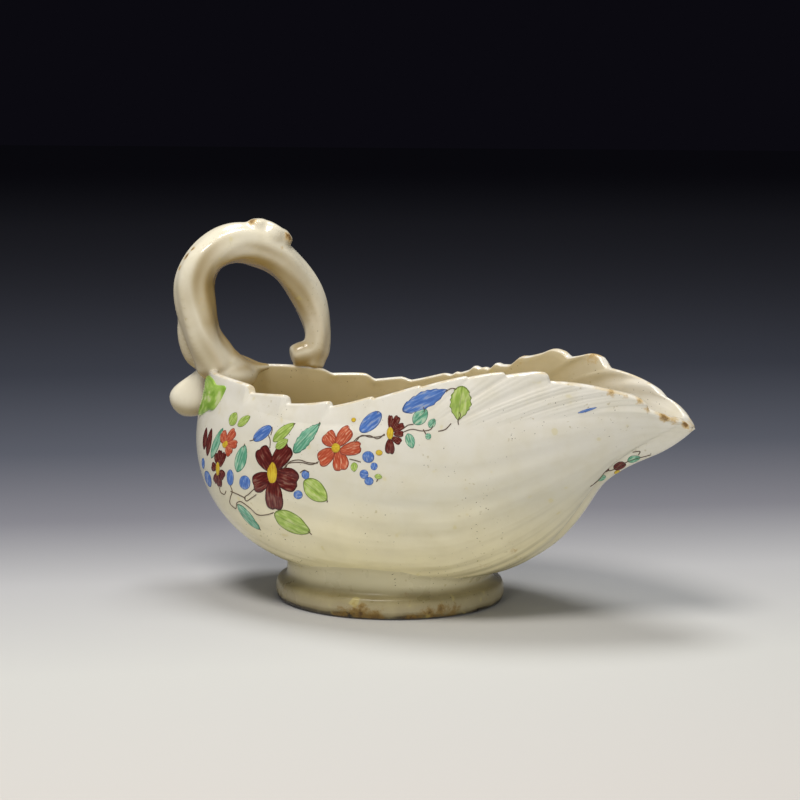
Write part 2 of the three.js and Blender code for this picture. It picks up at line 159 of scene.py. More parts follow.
def inward(along, inset):
    return np.stack([-along[..., 2], np.zeros_like(along[..., 0]), along[..., 0]], -1) * inset


def keel(u, inset):
    u = np.asarray(u, float)
    ahead, behind = keel_point(np.minimum(1, u + 1e-3)), keel_point(np.maximum(0, u - 1e-3))
    p = keel_point(u) + inward(unit(ahead - behind), inset)
    for end, near in ((0.0, clamp01(1 - u / 0.12)), (1.0, clamp01((u - 0.86) / 0.14))):
        at = keel_point(end)
        step = (keel_point(0.999 if end else 0.001) - at) * (-1 if end else 1)
        at = at + inward(unit(step), inset)
        p = p + (rim(np.asarray(end), inset) - at) * (near ** 2)[..., None]
    return p


# A point at u along the body and s up its side; a negative s is the near side.
def skin(u, s, inset=0.0):
    u, s = np.broadcast_arrays(np.asarray(u, float), np.asarray(s, float))
    low, top, t = keel(u, inset), rim(u, inset), np.abs(s)
    spout = smooth((u - 0.62) / 0.3)
    g = bezier((0, 0, 0.35, 1), t)
    y = bezier((0, mix(BELLY - 0.1, 0.25, spout), mix(BELLY, 0.8, spout), 1), t) * top[..., 1]
    z = low[..., 2] + bezier((0, 0, mix(0.27, 0.45, spout), 1), t) * (top[..., 2] - low[..., 2])
    return np.stack([mix(low[..., 0], top[..., 0], g), np.sign(s) * y, z], -1)


def skin_normal(u, s):
    a = np.clip(u, 0.005, 0.995)
    along = skin(a + 2e-3, s) - skin(a - 2e-3, s)
    up = skin(a, s + 2e-3) - skin(a, s - 2e-3)
    return unit(np.cross(up, along))


def vein_height(h, u):
    drop = VEIN_DROP * h * h * (1 - h) * smooth((FAN_U - u) / 0.2)
    lift = VEIN_LIFT * h * (1 - h) * clamp01((u - FAN_U) / (1 - FAN_U))
    return h + drop + lift


# ------------ meshes
def placed(name, data):
    obj = bpy.data.objects.new(name, data)
    bpy.context.scene.collection.objects.link(obj)
    return obj


def plain_mesh(obj, name):
    """The mesh that an object's modifiers make of it."""
    deps = bpy.context.evaluated_depsgraph_get()
    mesh = bpy.data.meshes.new_from_object(obj.evaluated_get(deps))
    mesh.name = name
    return mesh


def noted(mesh, key, values):
    """Gives each point of a mesh a number, or three, for the materials to read."""
    kind, field = ("FLOAT_VECTOR", "vector") if np.ndim(values) == 2 else ("FLOAT", "value")
    layer = mesh.attributes.new(key, kind, "POINT")
    layer.data.foreach_set(field, np.asarray(values, np.float32).ravel())


def piece(name, points, faces, merge=0.0, **values):
    """A closed piece in the shared frame, its faces turned outward and shaded smooth."""
    mesh = bpy.data.meshes.new(name)
    points = np.reshape(points, (-1, 3))
    mesh.from_pydata(stand(points).tolist(), [], [list(map(int, f)) for f in faces])
    for key, data in values.items():
        noted(mesh, key, data)
    work = bmesh.new()
    work.from_mesh(mesh)
    if merge:
        bmesh.ops.remove_doubles(work, verts=work.verts, dist=merge / 1000)
    bmesh.ops.recalc_face_normals(work, faces=work.faces)
    for face in work.faces:
        face.smooth = True
    work.to_mesh(mesh)
    work.free()
    return placed(name, mesh)


def grid_faces(rows, count, first=0, wrap=True):
    """Quads through rows of points that follow each other in the list."""
    faces = []
    for i in range(rows - 1):
        for j in range(count if wrap else count - 1):
            a, b = first + i * count + j, first + i * count + (j + 1) % count
            faces.append((a, b, b + count, a + count))
    return faces


def capped(rings, first=0):
    """Faces of a tube through equal rings, closed with a fan of one face at each end."""
    rows, count = len(rings), len(rings[0])
    faces = grid_faces(rows, count, first)
    faces.append([first + j for j in range(count)][::-1])
    faces.append([first + (rows - 1) * count + j for j in range(count)])
    return faces


# ------------ leaf body
def tooth_height(edge, x):
    run = edge["run"]
    at = np.array([BACK_X] + [t[0] for t in edge["teeth"]], float)
    deep = np.array([0.0] + [t[1] for t in edge["teeth"]])
    i = np.clip(np.searchsorted(at, x, side="right") - 1, 0, len(at) - 1)
    since, ahead = x - at[i], np.append(at[1:], SPOUT_X)[i] - x
    last, depth = deep[i], np.append(deep[1:], 0.0)[i]
    climb = clamp01((since - run) / np.maximum(ahead + since - run, 1e-6))
    rise = mix(-last / 2, depth / 2, climb) - 0.22 * depth * np.exp(-ahead / edge["lip"])
    fall = mix(last * 0.28, -last / 2, smooth(since / run))
    lumps = sum(high * np.exp(-((x - place) / wide) ** 2) for place, high, wide in edge["lumps"])
    lumps = lumps * clamp01((SPOUT_X - x) / 3)
    return np.where((since < run) & (i > 0), fall, rise) + lumps


# How far one lobe of the edge stands over the next, on both sides of each notch.
def lobe_step(edge, x):
    total = np.zeros_like(x)
    for place, _, crease in edge["teeth"]:
        before, after = place - x, x - place - edge["run"]
        total += crease * (np.exp(-np.maximum(before, 0) / 5) * (before >= 0)
                           - np.exp(-np.maximum(after, 0) / 4) * (before < 0))
    return total


def rim_place(x):
    """The place u at which the rim reaches x."""
    return acos(1 - 2 * (x - BACK_X) / (SPOUT_X - BACK_X)) / pi


def edge_phase(edge, k):
    """How many veins lie between the back and a place of the edge, whole at each notch."""
    stops = [0.0] + [rim_place(x + edge["run"] / 2) for x, _, _ in edge["teeth"]] + [1.0]
    phase = np.zeros_like(k)
    for a, b in zip(stops, stops[1:]):
        veins = max(1, round(float(np.linalg.norm(rim(b) - rim(a))) / EDGE_PITCH))
        here = (k >= a) & (k <= b)
        phase = np.where(here, (k - a) / (b - a) * veins, phase)
    return phase


def lobe(phase, sharp=1.2):
    return np.abs(np.sin(np.pi * phase)) ** sharp


# One skin of a side: columns along the rim, rows from the keel up to the rim.
def across(edge, k, flank, climb, inset, relief):
    side = edge["side"]
    start = k - EDGE_SLANT * smooth((k - 0.45) / 0.35) * clamp01((1 - k) / 0.2)
    h = FLANK_TOP * flank
    u_low = np.repeat(start[:, None], len(flank), 1)
    s_low = vein_height(h[None, :], start[:, None])
    top = vein_height(FLANK_TOP, start)
    u_high = mix(start[:, None], k[:, None], climb[None, :])
    s_high = mix(top[:, None], 1.0, climb[None, :])
    u, s = np.hstack([u_low, u_high]), np.hstack([s_low, s_high])
    p, n = skin(u, side * s, inset), skin_normal(u, side * np.maximum(s, 1e-4))
    phase = edge_phase(edge, k)[:, None]
    fine = FINE_RISE * (relief > 0.9)
    rows = flank[None, :] * FLANK_VEINS
    drift = 0.35 * np.sin(9 * k[:, None] + 5 * flank[None, :])
    low = (lobe(rows, 0.8) * VEIN_RISE + lobe(rows * 3 + drift) * fine * 1.5
           + lobe(rows * 5.3 - 2 * drift) * fine * 0.7 + 0 * k[:, None])
    high = (lobe(phase) * VEIN_RISE * 0.68 + lobe(phase * 3) * fine) * np.minimum(1, 2 * climb)[None, :]
    bump = np.hstack([low, high * smooth((u_high - 0.49) / 0.12)])
    bump = bump * smooth((u - 0.24) / 0.2) * clamp01((1 - u) / 0.08)
    bump = bump * (1 - 0.75 * smooth((u - 0.66) / 0.16))
    # the strip of clay along the keel under the spout, with a groove beside it
    out, tip = np.abs(p[..., 1]), clamp01((1 - u) / 0.05)
    strip = smooth(1.3 - out / STRIP_WIDTH) * smooth((u - 0.68) / 0.1) * tip
    groove = np.exp(-((out - GROOVE_OUT) / GROOVE_WIDTH) ** 2) * smooth((u - 0.74) / 0.08) * tip
    bump = bump * (1 - strip) + strip * 0.8 - groove
    x = rim(k)[:, 0]
    near = np.hstack([np.zeros_like(s_low), np.repeat(smooth(climb)[None, :], len(k), 0)])
    bump = bump + LOBE_RISE * lobe_step(edge, x)[:, None] * near ** 2.2 * clamp01((1 - u) / 0.06)
    if inset:
        fold = np.cos((x[:, None] - FOLD_FROM) / FOLD_WIDTH)
        bump = fold * near * smooth((u - 0.55) / 0.12) * clamp01((1 - u) / 0.15)
    blunt = LOW_BLUNT * smooth((u - 0.9) / 0.07) * (1 - near) * (inset == 0)
    p = p + n * (bump * relief + blunt)[..., None]
    p[..., 2] += tooth_height(edge, x)[:, None] * near ** (2.5 if inset else 1)
    return p, u, s


def rim_columns():
    k = list(np.linspace(0, 1, 216))
    for edge in (NEAR_EDGE, FAR_EDGE):
        for x, _, _ in edge["teeth"]:
            k += [rim_place(x + edge["run"] * f) for f in (-0.5, 0, 0.25, 0.5, 0.75, 1, 1.5)]
    return np.array(sorted(k))


OUT_FLANK, OUT_CLIMB = np.linspace(0, 1, 58), np.linspace(0, 1, 23)[1:] ** 0.8
IN_FLANK, IN_CLIMB = np.linspace(0, 1, 26), np.linspace(0, 1, 11)[1:]
CROWN = np.radians([30, 60, 90, 120, 150])


def leaf_body():
    k = rim_columns()
    rings, places = [], []
    for edge in (NEAR_EDGE, FAR_EDGE):
        outer, uo, so = across(edge, k, OUT_FLANK, OUT_CLIMB, 0.0, 1.0)
        inner, ui, si = across(edge, k, IN_FLANK, IN_CLIMB, WALL, 0.45)
        a, b = outer[:, -1:], inner[:, -1:]
        t = ((1 - np.cos(CROWN)) / 2)[None, :, None]
        crown = mix(a, b, t)
        crown[..., 2] += RIM_CROWN * np.sin(CROWN)
        one = np.ones((len(k), len(CROWN)))
        ring = np.concatenate([outer, crown, inner[:, ::-1]], 1)
        place = np.stack([np.hstack([uo, uo[:, -1:] * one, ui[:, ::-1]]),
                          np.hstack([so, one, si[:, ::-1]]) * edge["side"],
                          np.hstack([so * 0, one * 0.5, si * 0 + 1])], -1)
        rings.append(ring)
        places.append(place)
    # keel, far side up to the rim and down inside to the keel, near side back again
    near, far = rings
    ring = np.concatenate([far, near[:, ::-1][:, 1:-1]], 1)
    place = np.concatenate([places[1], places[0][:, ::-1][:, 1:-1]], 1)
    return piece("leaf_body", ring, grid_faces(len(k), ring.shape[1]), merge=0.012,
                 leaf_place=place.reshape(-1, 3))


body = leaf_body()


def worn(obj, spots):
    """How strongly each place is worn; the spots are a place, a radius in mm and a strength."""
    count = len(obj.data.vertices)
    flat = np.zeros(count * 3, np.float32)
    obj.data.vertices.foreach_get("co", flat)
    points = (flat.reshape(-1, 3) - SHIFT) * 1000
    wear = np.zeros(count)
    for place, radius, strength in spots:
        away = np.linalg.norm(points - np.array(place, float), axis=1) / radius
        wear = np.maximum(wear, strength * np.exp(-away ** 2))
    noted(obj.data, "wear", wear)


def rim_spot(k, side, radius, strength):
    edge, place = (FAR_EDGE if side > 0 else NEAR_EDGE), rim(k)
    high = tooth_height(edge, place[:1])[0] + RIM_CROWN / 2
    return place * [1, side, 1] + [0, 0, high], radius, strength


worn(body, [rim_spot(*spot) for spot in (
    (0.77, -1, 2.6, 0.55), (0.79, -1, 2.4, 0.45), (0.818, -1, 2.4, 0.6), (0.835, -1, 2.2, 0.55),
    (0.87, -1, 2.6, 0.75), (0.9, -1, 3.2, 0.5), (0.945, -1, 1.8, 0.95), (0.985, -1, 4.5, 0.42),
    (0.672, 1, 5, 0.72), (0.65, 1, 2.6, 0.5), (0.555, 1, 4.5, 0.68), (0.54, 1, 2.4, 0.5),
    (0.505, 1, 1.8, 0.55), (0.485, 1, 1.8, 0.5), (0.46, 1, 3, 0.62), (0.42, 1, 2.4, 0.45),
    (0.93, 1, 3, 0.4))
] + [
    (skin(0.412, -0.25), 3.2, 0.75), (skin(0.43, -0.22), 2.5, 0.6), (skin(0.66, -0.3), 4, 0.42),
    (skin(0.7, -0.35), 3, 0.4),
])


def tree_of(obj):
    """Ray target in millimetres from the foot's axis."""
    points = [Vector((np.array(v.co) - SHIFT) * 1000) for v in obj.data.vertices]
    return BVHTree.FromPolygons(points, [tuple(p.vertices) for p in obj.data.polygons])


body_tree = tree_of(body)

# ------------ foot ring
FOOT_RADIUS, FOOT_OVAL, FOOT_BULGE, FOOT_BEAD = 40.0, 0.92, 1.7, 7.6
NECK_RADIUS, FOOT_WALL = 37.4, 5.0


def hull_height(x, y):
    return body_tree.ray_cast(Vector((x, y, 1.0)), Vector((0, 0, 1)))[0].z


def foot_ring():
    inner = NECK_RADIUS - FOOT_WALL
    bead = [(FOOT_RADIUS + FOOT_BULGE * cos(a), FOOT_BEAD * (0.5 + 0.5 * sin(a)))
            for a in np.radians(np.linspace(-62, 62, 11))]
    fixed = [(inner + 1.6, 0.1), (inner + 2.2, 0), (FOOT_RADIUS - 1.2, 0), (FOOT_RADIUS - 0.3, 0.12)]
    fixed += bead + [(NECK_RADIUS + 1.8, FOOT_BEAD), (NECK_RADIUS + 0.8, FOOT_BEAD + 0.5),
                     (NECK_RADIUS + 0.2, FOOT_BEAD + 1.3)]
    rings = []
    for angle in around(128):
        c, s = cos(angle), sin(angle) * FOOT_OVAL
        wobble = 1 + 0.004 * sin(3 * angle + 1) + 0.002 * sin(7 * angle)
        height = lambda r: hull_height(r * c * wobble, r * s * wobble)
        line = list(fixed)
        line.append((NECK_RADIUS, max(FOOT_BEAD + 1.9, height(NECK_RADIUS) - 2.6)))
        for out, under in ((0.15, 1.5), (0.5, 0.8), (1.1, 0.3), (2.0, 0.02), (2.6, -0.5)):
            line.append((NECK_RADIUS + out, height(NECK_RADIUS + out) - under))
        for back, under in ((2.4, -0.8), (1.6, -0.1), (0.7, 0.5), (0.0, 1.6)):
            line.append((inner - back, height(inner - back) - under))
        line += [(inner, FOOT_BEAD * 0.7), (inner + 0.2, 2.0), (inner + 0.8, 0.7)]
        rings.append([(r * c * wobble, r * s * wobble, z) for r, z in line])
    count, last = len(rings[0]), (len(rings) - 1) * len(rings[0])
    faces = grid_faces(len(rings), count)
    faces += [(last + j, last + (j + 1) % count, (j + 1) % count, j) for j in range(count)]
    return piece("foot_ring_piece", rings, faces)


def foot_spot(degrees, height, radius, strength):
    x, y = FOOT_RADIUS * cos(radians(degrees)), FOOT_RADIUS * sin(radians(degrees))
    return (x, y * FOOT_OVAL, height), radius, strength


foot = foot_ring()
worn(foot, [foot_spot(*spot) for spot in (
    (-92, 0.8, 4, 0.7), (-82, 2.6, 4.5, 0.8), (-74, 1.2, 4, 0.75), (-56, 0.6, 3.5, 0.7),
    (-48, 2.5, 3.4, 0.75), (-41, 3.4, 3.2, 0.8), (-34, 2.6, 3.4, 0.75), (-22, 3.5, 2, 0.5),
    (-12, 4.5, 2, 0.45), (-132, 5.5, 3, 0.45), (-60, 7.5, 7, 0.32), (-100, 7.5, 6, 0.3),
    (60, 1.5, 6, 0.6), (130, 2, 5, 0.55), (178, 2, 5, 0.5))])


# ------------ curves and rolled clay
def through(points, count):
    """Evenly spaced points on a centripetal Catmull-Rom curve."""
    p = np.array(points, float)
    p = np.vstack([2 * p[0] - p[1], p, 2 * p[-1] - p[-2]])
    fine = []
    for i in range(1, len(p) - 2):
        a, b, c, d = p[i - 1], p[i], p[i + 1], p[i + 2]
        t1 = max(np.linalg.norm(b - a), 1e-6) ** 0.5
        t2 = t1 + max(np.linalg.norm(c - b), 1e-6) ** 0.5
        t3 = t2 + max(np.linalg.norm(d - c), 1e-6) ** 0.5
        for t in np.linspace(t1, t2, 24, endpoint=i == len(p) - 3):
            ab = (t1 - t) / t1 * a + t / t1 * b
            bc = (t2 - t) / (t2 - t1) * b + (t - t1) / (t2 - t1) * c
            cd = (t3 - t) / (t3 - t2) * c + (t - t2) / (t3 - t2) * d
            left = (t2 - t) / t2 * ab + t / t2 * bc
            right = (t3 - t) / (t3 - t1) * bc + (t - t1) / (t3 - t1) * cd
            fine.append((t2 - t) / (t2 - t1) * left + (t - t1) / (t2 - t1) * right)
    fine = np.array(fine)
    way = np.concatenate([[0], np.cumsum(np.linalg.norm(np.diff(fine, axis=0), axis=1))])
    at = np.linspace(0, way[-1], count)
    return np.stack([np.interp(at, way, fine[:, i]) for i in range(3)], -1)


def carried(centres):
    """Side vectors carried along a curve without twist."""
    along = unit(np.gradient(centres, axis=0))
    side = unit(np.cross(along[0], [0.3, 1, 0.2]))
    sides = []
    for t in along:
        side = unit(side - t * np.dot(side, t))
        sides.append(side)
    sides = np.array(sides)
    return sides, np.cross(along, sides)


def rolled(centres, radius, sides=32):
    """Rings of a rolled strip; radius is a function of the share of the way and the angle."""
    one, two = carried(centres)
    angles = around(sides)
    rings = []
    for i, t in enumerate(np.linspace(0, 1, len(centres))):
        r = np.array([radius(t, a) for a in angles])
        rings.append(centres[i] + one[i] * (r * np.cos(angles))[:, None]
                     + two[i] * (r * np.sin(angles))[:, None])
    return rings


# ------------ handle
ROOT_RADIUS, STALK_RADIUS, END_RADIUS = 8.2, 7.2, 5.4
LOOP_RISE, LANDING = 46.5, 0.244
STALK_ROUTE = [
    (0.02, -0.19), (-0.03, 0.055), (-0.172, 0.286), (-0.24, 0.538), (-0.232, 0.736), (-0.1, 0.905),
    (0.176, 1), (0.515, 0.928), (0.8, 0.73), (0.985, 0.46), (1.045, 0.23), (1.01, 0.045),
    (0.99, -0.025),
]
ROOT_CLAY, STEM_RADIUS = 7.4, 2.5       # the clay run over the root, and the bud's stem
loop_root = np.array([BACK_X + 1, 0, 0.0])
loop_way = rim(LANDING) * [1, 1, 0] - loop_root
stalk_line = through([loop_root + loop_way * way + [0, 0, BACK_Z + rise * LOOP_RISE]
                      for way, rise in STALK_ROUTE], 180)


def by_root(place):
    return np.array(place) * ROOT_RADIUS + [BACK_X, 0, BACK_Z]


bud_root = by_root([-0.61, 0, 0.4])


def stalk_radius(t, angle):
    root = mix(ROOT_RADIUS, STALK_RADIUS, smooth(t / 0.17))
    end = mix(root, END_RADIUS, smooth((t - 0.6) / 0.3))
    end *= (1 - 0.3 * smooth((t - 0.945) / 0.05)) * mix(0.25, 1, smooth(t / 0.085))
    ridge = 0.5 * cos(2 * (angle - 2 * pi * 2.2 * t))
    grain = 0.24 * cos(5 * angle - 9 * t) + 0.18 * cos(9 * angle + 14 * t)
    return end + ridge + grain


def shoot(t, direction, radius, length, flare):
    """A cut side shoot or knot, at a share t of the stalk."""
    start = stalk_line[int(round(t * (len(stalk_line) - 1)))]
    way = unit(np.array(direction, float))
    reach = mix(STALK_RADIUS, END_RADIUS, smooth((t - 0.6) / 0.3)) + length
    centres = np.array([start + way * reach * f for f in (0.3, 0.6, 0.8, 0.9, 0.96, 1.0)])
    scale = [flare, flare, 1.05, 1.0, 0.88, 0.6]
    size = lambda f, a: radius * scale[int(round(f * 5))] * (1 + 0.04 * cos(3 * a))
    return rolled(centres, size, 24)


# A patch of clay inside the body's wall, which the luted ends grow out of.
def wall_patch(edge, k_from, k_to, low):
    k = np.linspace(k_from, k_to, 14)
    rows = np.linspace(low, 0.985, 12)
    outer = skin(k[:, None], edge["side"] * rows[None, :], 0.5)
    inner = skin(k[:, None], edge["side"] * rows[None, :], WALL - 0.5)
    for p in (outer, inner):
        p[..., 2] += (tooth_height(edge, rim(k)[:, 0])[:, None] * smooth((rows - 0.88) / 0.12)[None, :])
    return list(np.concatenate([outer, inner[:, ::-1]], 1))


def luted(name, solids, voxel, rounds):
    """One skin over several closed solids, with every joint run over with slip; the voxel is in
    millimetres, and the rounds are those of smoothing."""
    points, faces = [], []
    for rings in solids:
        faces += capped(rings, len(points))
        points += [tuple(p) for ring in rings for p in ring]
    obj = piece(name, points, faces)
    remesh = obj.modifiers.new("one_skin", "REMESH")
    remesh.mode, remesh.voxel_size, remesh.adaptivity = "VOXEL", voxel / 1000, 0.0
    slip = obj.modifiers.new("slip", "CORRECTIVE_SMOOTH")
    slip.iterations, slip.factor, slip.smooth_type = rounds, 0.5, "SIMPLE"
    slip.use_only_smooth = True
    mesh = plain_mesh(obj, name)
    obj.modifiers.clear()
    obj.data = mesh
    mesh.shade_smooth()
    return obj


def handle():
    stem_line = through([by_root([-0.8, -1, 3.3]), by_root([-1.15, -0.93, 2.3]),
                         by_root([-1.2, -0.7, 1.34]), by_root([-1, -0.37, 0.5]),
                         bud_root + [-0.5, 0, -2.0]], 60)
    stem = rolled(stem_line, lambda t, a: STEM_RADIUS * mix(0.7, 1.2, smooth(t * 1.4)), 20)
    # clay run from the root along the far rim, in the corner above it, and round inside the back
    along = np.linspace(0.015, LANDING, 30)
    over = 1.2 * np.exp(-((along - 0.1) / 0.05) ** 2) - 0.4
    web = rolled(rim(along, WALL / 2) + np.outer(over, [0, 0, 1]), lambda t, a: (
        mix(ROOT_CLAY, 1.0, smooth(t * 1.7)) * mix(0.5, 1, smooth(t / 0.12))), 20)
    corner = mix(stalk_line[10], rim(0.11, WALL), 0.5) + [1.5, 0, 0.5]
    corner_line = through([stalk_line[17], corner, rim(0.15, WALL * 0.6)], 24)
    spread = rolled(corner_line, lambda t, a: (
        mix(ROOT_CLAY, 1.5, smooth(t)) * mix(0.6, 1, smooth(t / 0.2))), 20)
    low_line = through([rim(0.05, 2) * [1, -1, 1] - [0, 0, 2.5],
                        np.array([BACK_X + 5, 0, BACK_Z - 3]),
                        rim(0.06, 4.5) - [0, 0, 3], rim(0.12, 2) - [0, 0, 2]], 32)
    low_spread = rolled(low_line, lambda t, a: mix(1.6, 6.4, sin(pi * t) ** 0.8), 20)
    solids = [
        rolled(stalk_line, stalk_radius, 40), spread, low_spread,
        shoot(0.59, (0.45, 0.4, 0.9), 5.8, 3.0, 1.15), shoot(0.578, (0.0, -0.1, 0.95), 3.6, 3.4, 1.25),
        shoot(0.603, (0.75, 0.3, 0.6), 3.2, 3.4, 1.4), shoot(0.95, (-0.75, -0.65, -0.2), 4.0, 4.6, 1.15),
        stem, web, wall_patch(NEAR_EDGE, 0.004, 0.12, 0.75), wall_patch(FAR_EDGE, 0.004, 0.12, 0.75),
        wall_patch(FAR_EDGE, 0.16, 0.31, 0.82),
    ]
    return luted("stalk_handle", solids, voxel=0.5, rounds=14)


def stalk_spot(share, direction, radius, strength, out=STALK_RADIUS):
    centre = stalk_line[int(round(share * (len(stalk_line) - 1)))]
    return centre + unit(np.array(direction, float)) * out, radius, strength


def shaded_inside(obj):
    """How far each place of the stalk faces the middle of the loop, and, on the limb that rises from
    the root, how far it faces towards the spout. The glaze is painted darker and browner by it, as
    painted shade inside the loop and on that limb's side away from the light."""
    middle = stand(stalk_line[20:-20].mean(0))
    facing = []
    for v in obj.data.vertices:
        to_middle = (Vector(middle) - v.co).normalized()
        inward_face = max(0.0, v.normal.dot(to_middle)) * (0.6 + 0.6 * v.normal.x)
        above_root = clamp01((v.co.z * 1000 - BACK_Z - 6) / 12)
        behind = smooth((middle[0] - v.co.x) * 1000 / 11 + 0.3)
        facing.append(max(inward_face, 0.75 * max(0.0, v.normal.x) * above_root * behind))
    noted(obj.data, "in_loop", facing)


stalk = handle()
shaded_inside(stalk)
worn(stalk, [stalk_spot(*spot) for spot in (
    (0.36, (-0.6, -0.75, 0.25), 1.6, 0.7), (0.385, (-0.5, -0.75, 0.4), 2, 0.8),
    (0.41, (-0.4, -0.75, 0.5), 1.6, 0.75), (0.57, (0, -0.3, 0.95), 2.6, 0.75, 10),
    (0.6, (0.4, 0.2, 0.9), 2.6, 0.6, 10.5), (0.61, (0.8, 0.05, 0.55), 3, 0.8, 11),
    (0.62, (0.8, -0.5, 0.35), 2, 0.6, 9), (0.33, (-1, -0.1, 0.2), 3, 0.5),
    (0.78, (1, -0.3, 0.2), 3.5, 0.35), (0.28, (0.7, -0.7, 0), 4, 0.3))])

# ------------ bud and its leaves
BUD_LENGTH, BUD_RADIUS, BUD_TILT = 23.7, 7.6, 64


def flower_bud():
    tilt = radians(BUD_TILT)
    way, side, over = (np.array(v) for v in (
        (-cos(tilt), 0, -sin(tilt)), (0, 1.0, 0), (sin(tilt), 0, -cos(tilt))))
    blunt_end = 1 - 0.1 * (1 - np.linspace(0.1, 0.97, 12)) ** 1.6
    rings, angles = [], around(56)
    for t in np.concatenate([np.linspace(0.06, 0.9, 34), blunt_end]):
        r = BUD_RADIUS * sin(pi * t ** 2) ** 0.7
        rr = r * (1 + 0.018 * np.cos(3 * angles + 0.6) * sin(pi * t))
        centre = bud_root + way * BUD_LENGTH * t + over * 0.9 * sin(pi * t)
        rings.append(centre + side * (rr * np.cos(angles))[:, None]
                     + over * (rr * np.sin(angles))[:, None])
    return piece("flower_bud_piece", rings, capped(rings))


bud = flower_bud()

# The leaf beside the root: its middle and its outline as u and s, its fullness and its thickness.
SEPAL_HEART = (0.15, 0.905)
SEPAL_OUTLINE = [
    (0.073, 0.962), (0.1, 0.985), (0.145, 0.985), (0.168, 0.972), (0.205, 0.985), (0.206, 0.95),
    (0.2, 0.9), (0.19, 0.86), (0.172, 0.835), (0.15, 0.77), (0.13, 0.705), (0.121, 0.79), (0.103, 0.89),
]
SEPAL_FULL, SEPAL_SUNK = 1.4 / 1.35, 0.7


def sepal(name, side):
    """A three-pointed leaf laid on the body, thin at its edge and full along its ribs."""
    ring = through([(u, s, 0) for u, s in SEPAL_OUTLINE + SEPAL_OUTLINE[:1]], 105)[:-1, :2]
    reaches = np.array([0.02, 0.2, 0.4, 0.6, 0.75, 0.87, 0.95, 0.99, 1.0])
    lifts = np.array([1.35, 1.32, 1.22, 1.08, 0.95, 0.8, 0.62, 0.4, 0.1])
    rings = []
    for reach, lift in zip(reaches, lifts):
        u = mix(SEPAL_HEART[0], ring[:, 0], reach)
        s = mix(SEPAL_HEART[1], ring[:, 1], reach)
        n = skin_normal(u, side * s)
        rib = 0.16 * np.cos(np.linspace(0, 2 * pi * 6, len(ring))) * reach * (1 - reach)
        rings.append(skin(u, side * s) + n * (lift * SEPAL_FULL + rib)[:, None])
    for reach in (1, 0.02):
        u, s = mix(SEPAL_HEART[0], ring[:, 0], reach), mix(SEPAL_HEART[1], ring[:, 1], reach)
        rings.append(skin(u, side * s) - skin_normal(u, side * s) * SEPAL_SUNK)
    stroke = [(reach, j / len(ring), 0) for reach in list(reaches) + [1, 0] for j in range(len(ring))]
    return piece(name, rings, capped(rings), stroke=stroke)


sepals = [sepal("sepal_near_piece", -1), sepal("sepal_far_piece", 1)]


# ------------ enamel painting
def outline(kind, count):
    """Outline of a brush form: along its length from 0 to 1, across it from -0.5 to 0.5."""
    t = around(count)
    a, w = (1 - np.cos(t)) / 2, np.sin(t)
    if kind == "petal":
        b = 0.5 * np.sign(w) * np.abs(w) ** 0.66 * (0.66 + 0.44 * a) * 1.16
        a = a - 0.05 * np.exp(-(b / 0.12) ** 2) * (a > 0.5) + 0.02 * np.sin(5 * t) * (a > 0.6)
    elif kind == "leaf":
        b = 0.5 * np.sign(w) * np.abs(w) ** 1.35 * (1.12 - 0.24 * a)
    elif kind == "serrated":
        teeth = 0.92 + 0.22 * ((a * 6) % 1)
        b = 0.5 * np.sign(w) * np.abs(w) ** (1.0 + 1.1 * a) * (1.2 - 0.2 * a) * teeth
    else:
        b = 0.5 * w
    return np.stack([a, b], -1)


SEARCH, ASTRAY = 8, 6       # where a ray to the body starts, and how far off its hit may lie


def on_body(u, s):
    """The body's outside at u and s: place and the smooth skin's normal there."""
    return skin(u, s), skin_normal(np.asarray(u), np.asarray(s))


def pressed(point, normal, lift):
    """The point moved along a normal onto the body, and lifted off it."""
    hit = body_tree.ray_cast(Vector(point + normal * SEARCH), Vector(-normal))[0]
    if hit is None or (hit - Vector(point)).length > ASTRAY:
        hit = body_tree.find_nearest(Vector(point))[0]
    return np.array(hit) + normal * lift


# Reach from a brush form's heart to its outline, and the enamel's height there.
RINGS = [(0.0, 0.15), (0.2, 0.15), (0.38, 0.15), (0.55, 0.14), (0.7, 0.13), (0.84, 0.11),
         (0.94, 0.09), (1.0, -0.06)]
FORM_SUNK = 0.5         # of the form's underside below the glaze, in millimetres


def brush_form(kind, base, tip, width, side, more):
    """A thin raised form of enamel from its base to its tip on the body."""
    base_p, _ = on_body(base[0], side * base[1])
    tip_p, _ = on_body(tip[0], side * tip[1])
    if kind == "petal":
        base_p = mix(base_p, tip_p, -0.14)
    _, n = on_body((base[0] + tip[0]) / 2, side * (base[1] + tip[1]) / 2)
    way = tip_p - base_p
    way = way - n * np.dot(way, n)
    over = unit(np.cross(n, way)) * width
    count = 26 if kind == "dot" else 48
    edge = outline(kind, count)
    heart = np.array([0.52, 0.0])
    middle = (base_p + tip_p) / 2
    points, stroke = [], []
    for reach, lift in RINGS:
        ring = edge[:1] if reach == 0 else edge
        for a, b in mix(heart, ring, reach):
            flat = middle + way * (a - 0.5) + over * b
            points.append(pressed(flat, n, lift + more * (reach < 1)))
            stroke.append((a, b, reach))
    points.append(pressed(middle, n, 0) - n * FORM_SUNK)
    stroke.append((0.5, 0, 0))
    faces = [(0, 1 + j, 1 + (j + 1) % count) for j in range(count)]
    faces += grid_faces(len(RINGS) - 1, count, 1)
    last, under = 1 + (len(RINGS) - 2) * count, len(points) - 1
    faces += [(under, last + (j + 1) % count, last + j) for j in range(count)]
    return points, faces, stroke


